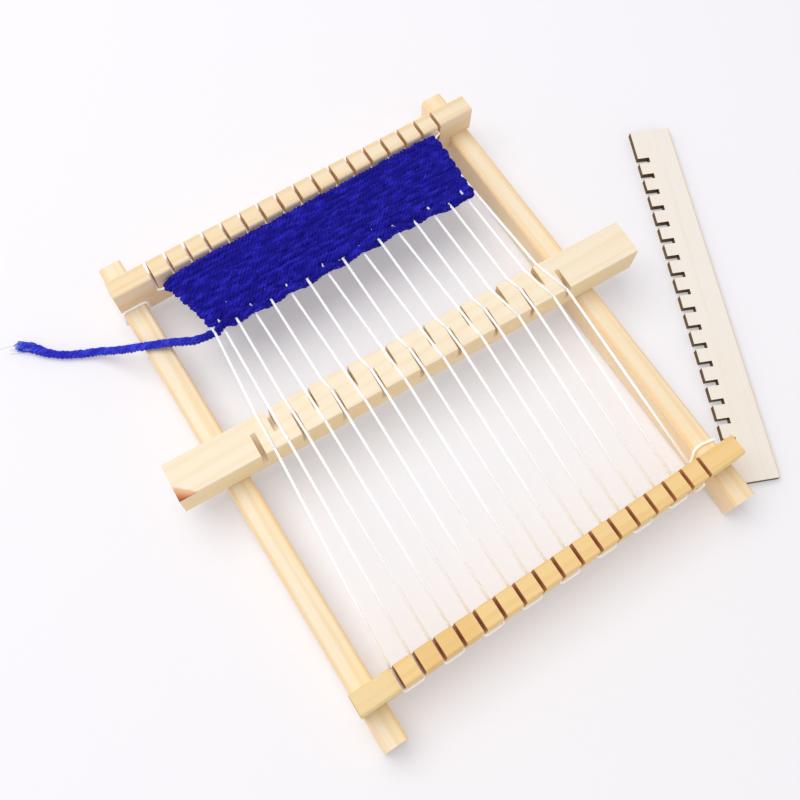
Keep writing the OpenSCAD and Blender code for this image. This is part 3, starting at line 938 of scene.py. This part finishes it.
def cloth_row(j):
    """Row j of the yarn's middle. Even rows run to the left and odd ones to the right."""
    last = ROWS - 1
    left, right = row_ends(j)
    shift = random.uniform(-0.12, 0.12)
    wander = waves(0.05, 0.16, 4, 15)
    bumps = waves(0.08, 0.2, 0.9, 2.5)
    amp = WEAVE_AMP.get(j, WEAVE_AMP_REST)
    row = []
    for k in range(ROW_STEPS + 1):
        t = k / ROW_STEPS
        x = mix(right, left, t) if j % 2 == 0 else mix(left, right, t)
        y = row_y(j) + sway(x) * j / last + shift
        y += wave_sum(wander, x)
        z = warp_z(x, y) - amp * math.cos(math.pi * (thread_count(x, y) + j))
        z += wave_sum(bumps, x)
        row.append(into_tail(left, x, y, z) if j == last else (x, y, z))
    return row


def edge_turn(j, start, end):
    """The yarn's turn into row j, between the end of the row before and its own start."""
    (x0, y0, z0), (x1, y1, z1) = start, end
    out = 1 if x0 > 0 else -1
    turn = []
    for k in range(1, TURN_STEPS):
        t = k / TURN_STEPS
        a = math.pi * k / TURN_STEPS
        bulge = (0.4 if j % 4 < 2 else 0.2) * math.sin(a)
        turn.append((mix(x0, x1, t) + out * bulge, mix(y0, y1, (1 - math.cos(a)) / 2),
                     mix(z0, z1, t)))
    return turn


def cloth_line():
    """The yarn's middle, row after row with a turn round each edge thread."""
    line = []
    for j in range(ROWS):
        row = cloth_row(j)
        if line:
            line += edge_turn(j, line[-1], row[0])
        line += row
    return line


def cloth_hairs(line):
    """Short bent hairs that stand out of the whole cloth."""
    fuzz = new_store()
    for _ in range(CLOTH_HAIRS):
        p = random.choice(line)
        out = Vector((random.uniform(-1, 1), random.uniform(-1, 1), random.uniform(-0.2, 1)))
        out.normalize()
        reach = random.uniform(0.0006, 0.0016)
        start = p + Vector((out.x, out.y, max(out.z, 0.1))) * 0.0012
        bow = Matrix.Rotation(random.uniform(-1.2, 1.2), 3, "Z") @ out
        strand = [start, start + out * reach * 0.6, start + (out * 0.6 + bow * 0.5) * reach]
        round_tube(fuzz, strand, 0.00005, 3)
    return mesh_piece("weft_fuzz", *fuzz, WOOL)


def rim_hairs(line):
    """Hairs that stand out of the last row's free edge, apart from its ends, in the brighter wisp wool:
    a painted light rim.
    """
    rim = new_store()
    free = line[RIM_SKIP - ROW_STEPS - 1:-RIM_SKIP]
    for _ in range(RIM_HAIRS):
        p = random.choice(free)
        start = p + Vector((0, -0.0011, random.uniform(-0.0004, 0.0008)))
        way = Vector((random.uniform(-1, 1), random.uniform(-0.9, -0.1), random.uniform(-0.3, 0.4)))
        reach = random.uniform(0.0004, 0.0012)
        round_tube(rim, [start, start + way * reach * 0.6, start + way * reach], 0.00006, 3)
    return mesh_piece("weft_rim_fuzz", *rim, WISPS_PAINTED_LIT)


def cloth():
    line = [at(*p) for p in cloth_line()]
    store = new_store()
    plied_tube(store, line, CLOTH_SPREAD, CLOTH_THICK, 0.14)
    piece = mesh_piece("weft_rows", *store, WOOL)
    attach(piece, "frame")
    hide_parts("woven_cloth")
    for hairs in (cloth_hairs(line), rim_hairs(line)):
        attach(hairs, "frame")


cloth()


# Floor and light

def floor():
    """A sheet of pale paper, part of whose tone is a glow that only shows and lights nothing."""
    half, low = 3.0, -0.0002
    mesh = bpy.data.meshes.new("floor")
    mesh.from_pydata([(-half, -half, low), (half, -half, low), (half, half, low), (-half, half, low)],
                     [], [(0, 1, 2, 3)])
    s = Shade("paper_floor", rough=0.9, Specular_IOR_Level=0.1)
    soft = s.noise(s.coords.outputs["Object"], 3, 2)
    paper = s.finish(s.blend(soft, (0.88, 0.872, 0.905), (0.9, 0.892, 0.92)))
    glow = s.add("ShaderNodeEmission")
    glow.inputs["Color"].default_value = (0.92, 0.912, 0.95, 1)
    rays = s.add("ShaderNodeLightPath").outputs
    seen = s.math("MAXIMUM", rays["Is Camera Ray"],
                  s.math("MAXIMUM", rays["Is Glossy Ray"], rays["Is Transmission Ray"]))
    both = s.add("ShaderNodeMixShader")
    s.put(both.inputs[0], s.times(seen, 0.27))
    s.tree.links.new(s.bsdf.outputs[0], both.inputs[1])
    s.tree.links.new(glow.outputs[0], both.inputs[2])
    s.tree.links.new(both.outputs[0], s.tree.nodes["Material Output"].inputs["Surface"])
    mesh.materials.append(paper)
    obj = bpy.data.objects.new("floor", mesh)
    bpy.context.scene.collection.objects.link(obj)


def lights():
    """A plain sky and one large soft lamp over the far left of the loom."""
    world = bpy.data.worlds.new("studio")
    bpy.context.scene.world = world
    world.use_nodes = True
    sky = world.node_tree.nodes["Background"]
    sky.inputs["Color"].default_value = (1.0, 0.985, 1.0, 1)
    sky.inputs["Strength"].default_value = 0.59
    data = bpy.data.lights.new("window", "AREA")
    data.shape = "DISK"
    data.size = 1.15
    data.energy = 11.3
    data.color = (1.0, 0.99, 0.98)
    lamp = bpy.data.objects.new("window", data)
    bpy.context.scene.collection.objects.link(lamp)
    aim = at(0, 0, 0)
    lamp.location = aim + Vector((-0.3, 0.4, 1.25))
    lamp.rotation_euler = (lamp.location - aim).to_track_quat("Z", "Y").to_euler()


floor()
lights()
bpy.context.scene.view_settings.view_transform = "Standard"

bpy.context.view_layer.update()
